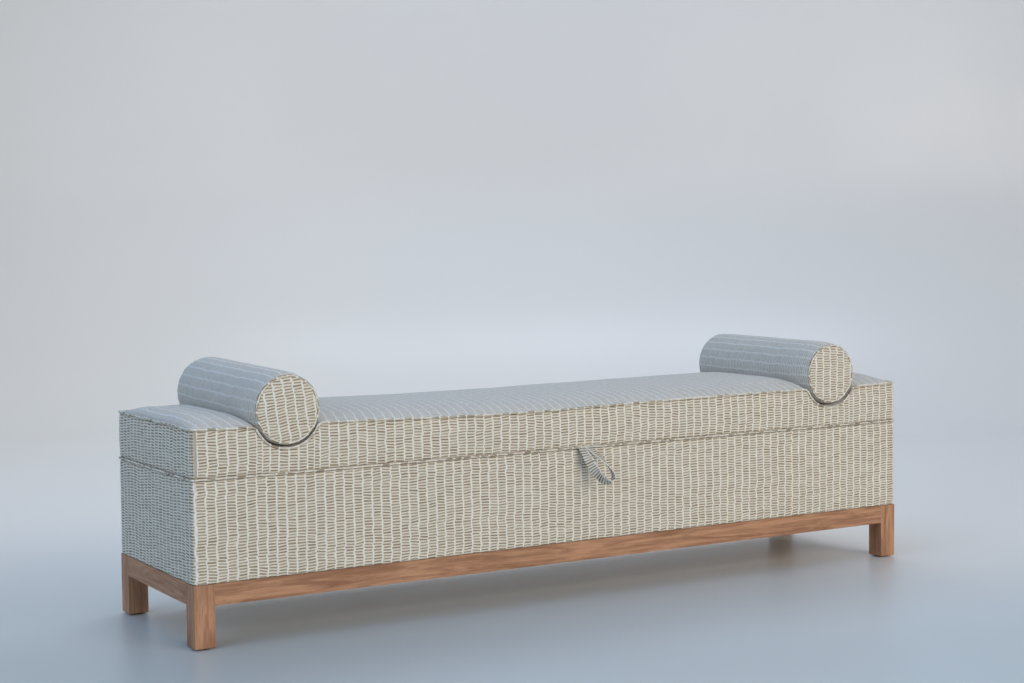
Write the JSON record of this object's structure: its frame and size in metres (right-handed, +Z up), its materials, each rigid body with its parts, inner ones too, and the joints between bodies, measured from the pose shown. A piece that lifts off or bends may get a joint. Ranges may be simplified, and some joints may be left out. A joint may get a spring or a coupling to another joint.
{
  "type": "storage bench",
  "caption": "Upholstered storage bench on a low timber leg frame, with a lift-up padded lid, a fabric pull loop and loose bolsters lying in scooped recesses.",
  "frame": {"origin": "on the floor, at the middle of the four legs", "axes": "+X along the bench towards its right end as seen from the front, +Y from the front to the hinge side, +Z up"},
  "size_m": [1.91, 0.547, 0.555],
  "materials": {
    "oak_frame": "oiled, satin",
    "board": "raw sheet, matt",
    "woven_cover": "coarse slub weave, matt",
    "foam": "foam, matt",
    "lining_cloth": "plain cloth, matt",
    "hinge_steel": "zinc plated",
    "bracket_steel": "zinc plated",
    "strut_black": "satin",
    "rod_steel": "polished",
    "glide_plastic": "matt",
    "bumper_rubber": "matt"
  },
  "bodies": {
    "box": {"leg_front_left": "oak_frame", "leg_front_right": "oak_frame", "leg_rear_left": "oak_frame", "leg_rear_right": "oak_frame", "base_rail_front": "oak_frame", "base_rail_rear": "oak_frame", "base_rail_left": "oak_frame", "base_rail_right": "oak_frame", "base_cross_rail_left": "oak_frame", "base_cross_rail_right": "oak_frame", "leg_glides": "glide_plastic", "box_floor": "board", "box_panel_front": "board", "box_panel_rear": "board", "box_panel_left": "board", "box_panel_right": "board", "box_lining": "lining_cloth", "box_cover": "woven_cover", "lid_bumpers": "bumper_rubber", "hinge_box_leaves": "hinge_steel", "strut_box_brackets": "bracket_steel"},
    "lid": {"lid_board": "board", "lid_foam": "foam", "lid_cover_top": "woven_cover", "lid_boxing_front": "woven_cover", "lid_boxing_rear": "woven_cover", "lid_boxing_left": "woven_cover", "lid_boxing_right": "woven_cover", "lid_piping_top": "woven_cover", "lid_piping_bottom": "woven_cover", "lid_underside_cloth": "lining_cloth", "pull_loop": "woven_cover", "hinge_lid_leaves": "hinge_steel", "strut_lid_brackets": "bracket_steel"},
    "strut_tube_left": {"strut_cylinder_left": "strut_black"},
    "strut_rod_left": {"strut_rod_left": "rod_steel"},
    "bolster_left": {"bolster_left_filling": "foam", "bolster_left_cover": "woven_cover", "bolster_left_ends": "woven_cover", "bolster_left_piping": "woven_cover"},
    "strut_tube_right": {"strut_cylinder_right": "strut_black"},
    "strut_rod_right": {"strut_rod_right": "rod_steel"},
    "bolster_right": {"bolster_right_filling": "foam", "bolster_right_cover": "woven_cover", "bolster_right_ends": "woven_cover", "bolster_right_piping": "woven_cover"}
  },
  "joints": [
    {"name": "lid_hinge", "type": "hinge", "parent": "box", "child": "lid", "pos_m": [0, 0.235, 0.349], "axis": [-1, 0, 0], "range_deg": [0, 75]},
    {"name": "strut_foot_left", "type": "hinge", "parent": "box", "child": "strut_tube_left", "pos_m": [-0.9138, 0.19, 0.175], "axis": [-1, 0, 0], "range_deg": [0, 37.5]},
    {"name": "strut_head_left", "type": "hinge", "parent": "lid", "child": "strut_rod_left", "pos_m": [-0.9138, 0.05568, 0.337], "axis": [-1, 0, 0], "range_deg": [-37.5, 0]},
    {"name": "bolster_lift_left", "type": "slide", "parent": "lid", "child": "bolster_left", "axis": [0, 0, 1], "range_m": [0, 0.25]},
    {"name": "strut_foot_right", "type": "hinge", "parent": "box", "child": "strut_tube_right", "pos_m": [0.9138, 0.19, 0.175], "axis": [-1, 0, 0], "range_deg": [0, 37.5]},
    {"name": "strut_head_right", "type": "hinge", "parent": "lid", "child": "strut_rod_right", "pos_m": [0.9138, 0.05568, 0.337], "axis": [-1, 0, 0], "range_deg": [-37.5, 0]},
    {"name": "bolster_lift_right", "type": "slide", "parent": "lid", "child": "bolster_right", "axis": [0, 0, 1], "range_m": [0, 0.25]}
  ],
  "couplings": [
    {"joint": "strut_foot_left", "follows": "lid_hinge", "ratio": 0.5},
    {"joint": "strut_head_left", "follows": "lid_hinge", "ratio": -0.5},
    {"joint": "strut_foot_right", "follows": "lid_hinge", "ratio": 0.5},
    {"joint": "strut_head_right", "follows": "lid_hinge", "ratio": -0.5}
  ]
}
